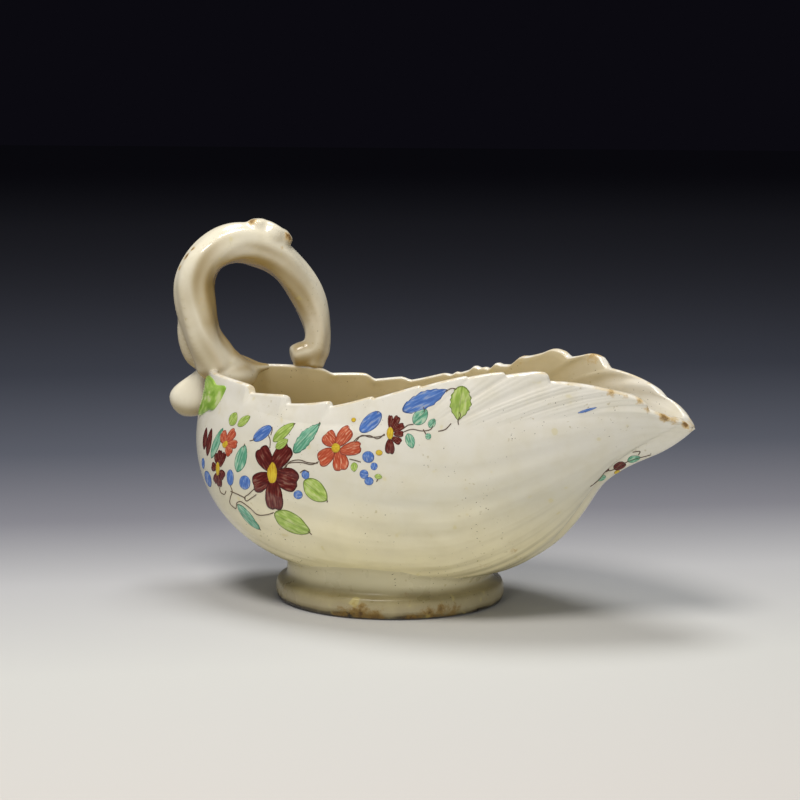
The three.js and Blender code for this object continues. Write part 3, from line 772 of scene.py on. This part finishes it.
# Brush forms of one kind: base and tip as u and s on the body in thousandths, and the width in
# millimetres.
SPRAY = {
    "maroon": [
        ("dot", [(874, 300, 893, 320, 3.2), (843, 420, 864, 360, 2.6)]),
        ("petal", [(362, 794, 330, 842, 6.7), (368, 799, 377, 882, 7.2), (378, 772, 415, 769, 7.9),
                   (377, 744, 397, 637, 7.8), (367, 757, 345, 699, 6.8), (257, 677, 247, 719, 3.6),
                   (260, 694, 253, 744, 2.8), (266, 682, 267, 752, 2.7), (270, 652, 284, 644, 3.5),
                   (270, 624, 280, 574, 3.4), (264, 622, 263, 561, 2.9), (257, 647, 243, 629, 3.2)]),
        ("leaf", [(222, 640, 208, 790, 3.6), (205, 640, 188, 760, 3.6)]),
        ("petal", [(511, 920, 505, 952, 1.8), (515, 917, 516, 945, 2.4), (518, 910, 528, 920, 2.3),
                   (521, 900, 532, 897, 2.1), (521, 890, 533, 875, 2.4), (518, 885, 525, 847, 3.3)]),
    ],
    "orange": [
        ("petal", [(442, 895, 424, 925, 5.7), (449, 895, 457, 935, 5.3), (459, 872, 484, 880, 4.5),
                   (455, 867, 471, 812, 6), (445, 872, 432, 840, 5.7), (256, 789, 240, 817, 4.4),
                   (261, 802, 271, 857, 3.8), (266, 792, 287, 815, 3.1), (266, 777, 281, 762, 3.8)]),
    ],
    "yellow": [
        ("dot", [(878, 170, 889, 110, 2.2), (361, 817, 377, 737, 4.7), (442, 882, 455, 882, 3.4),
                 (257, 797, 263, 767, 3.5), (257, 687, 268, 619, 2.4), (511, 922, 518, 887, 2.5),
                 (506, 857, 515, 855, 2), (452, 957, 459, 955, 1.6)]),
    ],
    "blue": [
        ("dot", [(313, 857, 337, 920, 4.5), (472, 922, 491, 962, 5.6), (291, 704, 303, 634, 4),
                 (324, 722, 334, 664, 5.9), (237, 569, 244, 459, 6.7), (210, 594, 217, 521, 3),
                 (418, 812, 424, 782, 3.4), (415, 722, 429, 727, 3.1), (502, 830, 495, 865, 4.6),
                 (512, 807, 509, 830, 2.6), (496, 799, 508, 797, 3.2), (509, 789, 514, 762, 3.3)]),
        ("serrated", [(518, 955, 566, 985, 5.2)]),
        ("leaf", [(733, 925, 757, 950, 1)]),
    ],
    "green": [
        ("serrated", [(582, 988, 590, 908, 6.4)]),
        ("leaf", [(348, 877, 370, 947, 4.3), (357, 860, 372, 897, 3.3), (254, 860, 258, 917, 4.8),
                  (271, 875, 290, 927, 3.4), (421, 777, 467, 714, 7.2), (395, 624, 459, 576, 7.8),
                  (482, 837, 488, 807, 2.7), (516, 789, 526, 784, 1.9)]),
    ],
    "teal": [
        ("leaf", [(895, 340, 916, 340, 2.8), (861, 260, 842, 300, 2.4), (236, 659, 240, 835, 4.2),
                  (307, 712, 303, 830, 6)]),
        ("serrated", [(388, 860, 409, 956, 4.8)]),
        ("leaf", [(327, 569, 381, 501, 5), (539, 917, 549, 947, 4.8), (559, 902, 562, 922, 2.6)]),
        ("dot", [(558, 882, 565, 880, 2.2)]),
        ("leaf", [(536, 897, 549, 855, 3.3)]),
    ],
}

# Fine lines of the brush: u and s on the body in thousandths, from point to point.
LINES = [
    (814, 476, 838, 410, 853, 390, 873, 300, 900, 340, 934, 270), (893, 510, 904, 500, 909, 420),
    (387, 807, 390, 832, 402, 842, 418, 837, 432, 837), (384, 802, 390, 827, 407, 835, 424, 832, 432, 842),
    (469, 890, 475, 907, 488, 907, 502, 895, 508, 905), (472, 887, 478, 910, 491, 902, 502, 900, 509, 902),
    (531, 902, 539, 905, 552, 897, 561, 897, 562, 920), (529, 910, 533, 917, 539, 917),
    (348, 855, 343, 880, 337, 892), (337, 920, 340, 910, 341, 895),
    (351, 697, 344, 659, 338, 627, 343, 619, 350, 644, 357, 672),
    (303, 634, 310, 617, 310, 571, 314, 536, 325, 534, 327, 579, 335, 599, 353, 596, 370, 584,
     385, 604, 395, 627),
    (307, 609, 323, 622, 340, 629), (278, 571, 286, 549, 294, 559, 297, 589),
    (474, 847, 482, 842, 491, 835), (571, 890, 578, 892, 583, 905), (543, 955, 546, 947, 546, 942),
    (412, 802, 417, 812, 425, 807), (564, 980, 569, 985, 576, 982),
    (588, 930, 591, 922, 590, 910, 592, 900), (454, 581, 459, 571, 461, 566),
    (308, 850, 313, 857, 317, 867), (370, 942, 371, 947), (408, 945, 407, 957), (301, 815, 301, 832),
    (377, 506, 382, 501), (486, 962, 486, 967), (558, 887, 553, 900), (522, 782, 521, 772),
    (467, 714, 467, 707),
]


def enamel(name, forms, side, more=0.0):
    points, faces, stroke = [], [], []
    every = [(kind, *form) for kind, run in forms for form in run]
    for turn, (kind, *places, width) in enumerate(every):
        base, tip = np.reshape(places, (2, 2)) / 1000
        p, f, st = brush_form(kind, base, tip, width, side, more + 0.03 * (turn % 3))
        faces += [[i + len(points) for i in face] for face in f]
        points += p
        stroke += st
    return piece(name, points, faces, stroke=stroke)


# ------------ materials
MIX, MATH, RANGE = "ShaderNodeMix", "ShaderNodeMath", "ShaderNodeMapRange"
NOISE, TRAIT, SPLIT = "ShaderNodeTexNoise", "ShaderNodeAttribute", "ShaderNodeSeparateXYZ"
VECTOR, SHADER = "ShaderNodeVectorMath", "ShaderNodeBsdfPrincipled"
USUAL = {MIX: {"data_type": "RGBA"}, RANGE: {"interpolation_type": "SMOOTHSTEP"}}
TIMES = {"operation": "MULTIPLY"}
ROUGH = 0.55        # of the noises, whose scale is 1000 over the size of their features in mm


def linear(code):
    """A colour written as sRGB hex, in linear light."""
    parts = [int(code[i:i + 2], 16) / 255 for i in (1, 3, 5)]
    return tuple(c / 12.92 if c <= 0.04045 else ((c + 0.055) / 1.055) ** 2.4 for c in parts) + (1.0,)


def add(tree, kind, *values, named=None, stops=(), **settings):
    """A node with its settings. Its open inputs take the values in order, or by name. A socket
    among them is linked, and so is a node's first open output. Stops are a ramp's colours."""
    made = tree.nodes.new(kind)
    for key, value in {**USUAL.get(kind, {}), **settings}.items():
        setattr(made, key, value)
    given = list(zip([s for s in made.inputs if s.enabled], values))
    given += [(made.inputs[key], value) for key, value in (named or {}).items()]
    for socket, value in given:
        if isinstance(value, bpy.types.Node):
            value = next(s for s in value.outputs if s.enabled)
        if isinstance(value, bpy.types.NodeSocket):
            tree.links.new(value, socket)
        else:
            socket.default_value = value
    for i, (place, code) in enumerate(stops):
        elements = made.color_ramp.elements
        element = elements[i] if i < len(elements) else elements.new(place)
        element.position, element.color = place, linear(code)
    return made


def new_material(name):
    """A material with no nodes yet, and add() for its tree."""
    material = bpy.data.materials.new(name)
    material.use_nodes = True
    material.node_tree.nodes.clear()
    return material, partial(add, material.node_tree)


def patches(node, place, size, low, high, most=1, detail=1):
    """Soft patches of about a size in millimetres: noise cut off between two levels."""
    return node(RANGE, node(NOISE, place, 1000 / size, detail, ROUGH), low, high, 0, most)


def cream_glaze(name, tones, speck=1.0, under=None, inside=None, rise=(0.008, 0.09),
                stain=("#c3a469", "#6e4d22"), rough=(0.12, 0.22)):
    """Cream earthenware dipped in a clear lead glaze: glossy, toned by height, specked with iron,
    stained brown where it is worn, darker and yellower inside (partly glaze lying thick, partly
    painted shade) and darker underneath (painted shade). The specks of 0.85 mm are coarser than the
    real ones, so that they show."""
    material, node = new_material(name)
    place = node("ShaderNodeTexCoord").outputs["Object"]
    height = node(RANGE, node(SPLIT, place).outputs[2], *rise)
    cloud = node(NOISE, place, 1000 / 34, 3, ROUGH)
    height = node(MATH, height, node(MATH, cloud, 0.3, -0.15, operation="MULTIPLY_ADD"))
    colour = node("ShaderNodeValToRGB", height, stops=tones)
    mottle = node(NOISE, place, 1000 / 9, 4, ROUGH)
    colour = node(MIX, node(RANGE, mottle, 0.35, 0.75, 0, 0.22), colour, linear("#c4b88d"))
    if inside:
        leaf_place = node(TRAIT, attribute_name="leaf_place").outputs["Vector"]
        u, _, depth = node(SPLIT, leaf_place).outputs
        # Darker and yellower inside the bowl, fading towards the spout: partly glaze lying thick, partly
        # painted shade.
        pooled_and_shaded = node(MATH, node(RANGE, depth, 0.55, 1), node(RANGE, u, 0.62, 0.82, 1, 0.15), **TIMES)
        colour = node(MIX, pooled_and_shaded, colour, linear(inside), blend_type="MULTIPLY")
        crown = node(MATH, node(RANGE, depth, 0.05, 0.45), node(RANGE, depth, 0.95, 0.55), **TIMES)
        rub = patches(node, place, 5, 0.42, 0.62, 0.6, 3)
        colour = node(MIX, node(MATH, crown, rub, **TIMES), colour, linear("#cdb98c"))
    # Painted shade: darker and browner on faces that look down and on faces marked in_loop.
    if under:
        facing = node(SPLIT, node("ShaderNodeNewGeometry").outputs["Normal"])
        in_loop = node(TRAIT, attribute_name="in_loop").outputs["Fac"]
        shade = node(MATH, node(RANGE, facing.outputs[2], 0.3, -0.8), node(RANGE, in_loop, 0, 0.8),
                     operation="MAXIMUM")
        colour = node(MIX, shade, colour, linear(under), blend_type="MULTIPLY")
    wear = node(TRAIT, attribute_name="wear").outputs["Fac"]
    worn_through = node(MATH, node(NOISE, place, 1000 / 2.2, 5, 0.7), wear)
    for low, high, most, tone in ((0.78, 1.1, 0.85, stain[0]), (1.02, 1.3, 0.9, stain[1])):
        bare = node(RANGE, worn_through, low, high, 0, most)
        colour = node(MIX, bare, colour, linear(tone))
    colour = node(MIX, patches(node, place, 4.5, 0.7, 0.78, 0.3), colour, linear("#cfc070"))
    field = patches(node, place, 22, 0.44, 0.64)
    for size, low, high, most, tone in ((1.6, 0.69, 0.78, 0.45, "#a2925a"),
                                        (0.85, 0.735, 0.775, speck, "#4a3d27")):
        iron = node(MATH, patches(node, place, size, low, high, most), field, **TIMES)
        colour = node(MIX, iron, colour, linear(tone))
    wave = node("ShaderNodeBump", named={"Height": node(NOISE, place, 1000 / 6, 2, ROUGH),
                                         "Distance": 0.00012, "Strength": 0.6})
    shader = node(SHADER, named={
        "Base Color": colour, "Roughness": node(RANGE, mottle, 0.3, 0.7, *rough),
        "IOR": 1.5, "Normal": wave})
    node("ShaderNodeOutputMaterial", shader)
    return material


def brushed_enamel(name, light, dark, edge, streak, edge_from=0.8, rib=0.0, bare=0.0):
    """Overglaze enamel painted on and fired: half glossy, in strokes that run from the base of a
    form to its tip, darker where it pools and at the edge, and bare cream where it is thin."""
    material, node = new_material(name)
    stroke = node(TRAIT, attribute_name="stroke").outputs["Vector"]
    along, aside, reach = node(SPLIT, stroke).outputs
    place = node("ShaderNodeTexCoord").outputs["Object"]
    stretched = node("ShaderNodeCombineXYZ", node(MATH, along, 1.3, **TIMES),
                     node(MATH, aside, streak, **TIMES))
    apart = node(VECTOR, place, (30, 30, 30), **TIMES)
    lines = node(NOISE, node(VECTOR, stretched, apart), 2, 2)
    colour = node(MIX, node(RANGE, lines, 0.38, 0.66), linear(light), linear(dark))
    colour = node(MIX, patches(node, place, 1.6, 0.45, 0.7, 0.35, 2), colour, linear(dark))
    if bare:
        thin = node(RANGE, lines, 0.47, 0.3, 0, bare)
        colour = node(MIX, thin, colour, linear("#dcd5b4"))
    border = node(RANGE, reach, edge_from, 0.95)
    if rib:
        middle = node(MATH, aside, operation="ABSOLUTE")
        border = node(MATH, border, node(RANGE, middle, 0.035, 0.01, 0, rib), operation="MAXIMUM")
    colour = node(MIX, node(MATH, border, 0.85, **TIMES), colour, linear(edge))
    node("ShaderNodeOutputMaterial", node(SHADER, named={
        "Base Color": colour, "Roughness": 0.24, "IOR": 1.5}))
    return material


# The body's glaze: cream above, duller at mid height, yellow and lighter at the keel. The yellow is
# glaze that ran together and lies thick; the lightness at the keel is painted light, standing in
# for light thrown up from the floor.
body_glaze = cream_glaze("cream_body_glaze", [
    (0.0, "#eadfb0"), (0.15, "#e4dab6"), (0.42, "#d1ccb8"), (0.75, "#dbd7ca"), (1.0, "#e4e0d5")],
    inside="#e3d7b7")
# The foot's glaze is rubbed by the table: browner and duller, and darker than the body's. It is
# darker still in the band where the bead turns into the neck, painted shade, and near-black at the
# very bottom edge: the dirt of the foot rim and, mostly, a painted contact shadow.
foot_glaze = cream_glaze("cream_foot_glaze", [
    (0.0, "#241a0c"), (0.035, "#30240f"), (0.065, "#7d7150"), (0.16, "#9d9273"), (0.45, "#958a67"),
    (0.6, "#7d724d"), (0.8, "#988e6c"), (1.0, "#cbc29f")],
    speck=1.5, rise=(0.0, 0.0125), stain=("#7f6226", "#4a3110"), rough=(0.25, 0.4))
# The stalk's and the bud's are handled less: paler and cleaner. Both are painted darker and
# yellower on faces that look down, and the stalk also on faces turned into its loop: painted shade.
stalk_glaze = cream_glaze("cream_stalk_glaze", [(0.0, "#dad3be"), (0.8, "#e0d9c4")],
                          speck=0.4, under="#b09a68")
bud_glaze = cream_glaze("cream_bud_glaze", [(0.0, "#e2dbc6"), (1.0, "#e4ddc9")], speck=0.4,
                        under="#cdbf9a")
# Enamels: coloured lead glass on the fired glaze. The leaf's is a thin wash, and cream shows.
sepal_enamel = brushed_enamel("yellow_green_leaf_enamel", "#a2c05c", "#7a9f38", "#cfd49a", 4.0, 0.55,
                              bare=0.45)
ENAMELS = {
    "maroon": brushed_enamel("maroon_enamel", "#6b2620", "#4a100c", "#350d0a", 5.0, bare=0.12),
    "orange": brushed_enamel("iron_red_enamel", "#c4684a", "#a8442a", "#73271a", 5.0, bare=0.35),
    "yellow": brushed_enamel("yellow_enamel", "#d4bb38", "#bb9524", "#94741f", 3.0),
    "blue": brushed_enamel("blue_enamel", "#5c82c2", "#4467ab", "#2d4573", 4.0, 0.87, bare=0.3),
    "green": brushed_enamel("leaf_green_enamel", "#adc268", "#8aa547", "#56652c", 4.0, 0.86, 0.5, 0.3),
    "teal": brushed_enamel("sea_green_enamel", "#8dbca3", "#529576", "#2f5f4c", 4.0, 0.86, 0.6, 0.4),
}
# Brown enamel laid on with the tip of a fine brush, half glossy like the other enamels.
ink, node = new_material("brown_brush_line")
node("ShaderNodeOutputMaterial", node(SHADER, named={
    "Base Color": linear("#54402f"), "Roughness": 0.3}))

painting = []
for side, place in ((-1, "near"), (1, "far")):
    for hue, forms in SPRAY.items():
        patch = enamel(f"enamel_{hue}_{place}", forms, side, 0.04 if hue == "yellow" else 0.0)
        patch.data.materials.append(ENAMELS[hue])
        painting.append(patch)


def brush_line_tree():
    """A round thread of enamel along each path of a curve."""
    group = bpy.data.node_groups.new("brush_line", "GeometryNodeTree")
    for key, way, kind in (("Geometry", "INPUT", "Geometry"), ("Line Width", "INPUT", "Float"),
                           ("Enamel", "INPUT", "Material"), ("Geometry", "OUTPUT", "Geometry")):
        group.interface.new_socket(key, in_out=way, socket_type="NodeSocket" + kind)
    paths, width, enamel_kind = add(group, "NodeGroupInput").outputs[:3]
    section = add(group, "GeometryNodeCurvePrimitiveCircle", 6, add(group, MATH, width, 0.5, **TIMES))
    thread = add(group, "GeometryNodeCurveToMesh", paths, section, named={"Fill Caps": True})
    coated = add(group, "GeometryNodeSetMaterial", add(group, "GeometryNodeRealizeInstances", thread),
                 named={"Material": enamel_kind})
    add(group, "NodeGroupOutput", coated)
    return group


LINE_TREE, LINE_SIZES = brush_line_tree(), {"Line Width": 0.00036, "Enamel": ink}
LINE_LIFT = 0.03        # of a thread's middle off the glaze, in millimetres


def brush_lines(name, side):
    curve = bpy.data.curves.new(name + "_paths", "CURVE")
    curve.dimensions = "3D"
    for line in LINES:
        stops = np.reshape(line, (-1, 2)) / 1000
        path = through([(u, s, 0) for u, s in stops], 14 * len(stops))
        spline = curve.splines.new("POLY")
        spline.points.add(len(path) - 1)
        for point, (u, s, _) in zip(spline.points, path):
            p, n = on_body(u, side * min(s, 0.99))
            point.co = (*stand(pressed(p, n, LINE_LIFT)), 1.0)
    paths = placed(name + "_paths", curve)
    modifier = paths.modifiers.new(name, "NODES")
    modifier.node_group = LINE_TREE
    for socket in LINE_TREE.interface.items_tree:
        if socket.name in LINE_SIZES:
            modifier[socket.identifier] = LINE_SIZES[socket.name]
    mesh = plain_mesh(paths, name)
    bpy.data.objects.remove(paths)
    return placed(name, mesh)


painting += [brush_lines("brush_lines_near", -1), brush_lines("brush_lines_far", 1)]

body.data.materials.append(body_glaze)
foot.data.materials.append(foot_glaze)
stalk.data.materials.append(stalk_glaze)
bud.data.materials.append(bud_glaze)
for leaf in sepals:
    leaf.data.materials.append(sepal_enamel)

# ------------ where the pieces belong
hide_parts("leaf_near", "leaf_far")
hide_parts("foot_ring")
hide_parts("handle_stalk", "bud_stem", "branch_knot", "pruned_twig")
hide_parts("flower_bud")
for leaf, node_name in zip(sepals, ("sepal_near", "sepal_far")):
    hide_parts(node_name)
for obj in (body, foot, stalk, bud, *sepals, *painting):
    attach(obj, "root")

# ------------ camera, floor and light
AZIMUTH, PITCH, DISTANCE = radians(24), radians(7.78), 750.0
TARGET = np.array([4.29, 0, 71.7])
back_off = np.array([sin(AZIMUTH) * cos(PITCH), -cos(AZIMUTH) * cos(PITCH), sin(PITCH)])
camera_data = bpy.data.cameras.new("camera")
camera_data.lens, camera_data.sensor_width = 94.5, 36.0
camera = placed("camera", camera_data)
camera.location = stand(TARGET + back_off * DISTANCE)
camera.rotation_euler = Vector(-back_off).to_track_quat("-Z", "Y").to_euler()
bpy.context.scene.camera = camera

# Matt studio paper, from pale under the boat to nearly black far behind it: the lamps' pool of
# light and its fall-off into the dark are painted into the paper's colour, as painted light. The
# grade's share is 1 at the front and 0 at the horizon, as the ground foreshortens at the camera's
# distance.
SHEET, SHEET_Z = 9000, -0.05
corners = ((-1, -1), (1, -1), (1, 1), (-1, 1))
floor = piece("floor", [(x * SHEET, y * SHEET, SHEET_Z) for x, y in corners], [(0, 1, 2, 3)])
PAINTED_FALLOFF_GRADE = [(0.0, "#25242c"), (0.05, "#2b2a31"), (0.158, "#45454d"), (0.367, "#444751"), (0.48, "#5a5d67"),
         (0.577, "#7f7f86"), (0.669, "#b4b4b5"), (0.799, "#c7c7c3"), (1.0, "#cbc8c3")]
GRADE_TURN, GRADE_FRONT, GRADE_PACE = AZIMUTH + radians(8), -0.3, 1.42
paper, node = new_material("studio_paper_painted_falloff")
ground = node("ShaderNodeTexCoord").outputs["Object"]
depth = node(VECTOR, ground, (-sin(GRADE_TURN), cos(GRADE_TURN), 0), operation="DOT_PRODUCT")
depth = node(MATH, depth, GRADE_FRONT, operation="MAXIMUM")
away = node(MATH, depth, GRADE_PACE / (DISTANCE * cos(PITCH) / 1000), GRADE_PACE,
            operation="MULTIPLY_ADD")
share = node(MATH, 1, away, operation="DIVIDE")
# Far off, the paper is painted at the darkest stop: more painted fall-off of light.
far_off = node(RANGE, node(VECTOR, ground, operation="LENGTH"), 1.5, 6)
sheet = node(MIX, far_off, node("ShaderNodeValToRGB", share, stops=PAINTED_FALLOFF_GRADE), linear(PAINTED_FALLOFF_GRADE[0][1]))
node("ShaderNodeOutputMaterial", node(SHADER, named={
    "Base Color": sheet, "Roughness": 1.0, "Specular IOR Level": 0.0}))
floor.data.materials.append(paper)

# The camera sees a dark room, and the boat gets a little pale light from all round.
world = bpy.data.worlds.new("studio")
bpy.context.scene.world = world
world.use_nodes = True
world.node_tree.nodes.clear()
air = world.node_tree
room = add(air, "ShaderNodeBackground", linear("#d4d6dc"), 0.2)
seen = add(air, "ShaderNodeBackground", linear("#0b0a10"), 1.0)
to_eye = add(air, "ShaderNodeLightPath").outputs["Is Camera Ray"]
joined = add(air, "ShaderNodeMixShader", to_eye, room, seen)
add(air, "ShaderNodeOutputWorld", joined)


def soft_box(name, place, aim, size, power, colour="#ffffff", gloss=True):
    data = bpy.data.lights.new(name, "AREA")
    data.shape, data.size, data.energy = "DISK", size / 1000, power
    data.color = linear(colour)[:3]
    lamp = placed(name, data)
    lamp.location = stand(place)
    lamp.rotation_euler = Vector(np.array(aim, float) - place).to_track_quat("-Z", "Y").to_euler()
    lamp.visible_glossy = gloss


soft_box("key_soft_box", (-30.0, -480, 1040), (0, 0, 45), 400, 7.9, "#fffaf4")
soft_box("top_soft_box", (-120.0, 240, 1080), (0, 0, 40), 440, 6.6)
soft_box("front_fill", (40.0, -1700, 330), (0, 0, 45), 500, 6.3, gloss=False)
soft_box("side_fill", (1300.0, -800, 230), (40, 0, 50), 400, 3.6, gloss=False)

bpy.context.scene.view_settings.view_transform = "Standard"
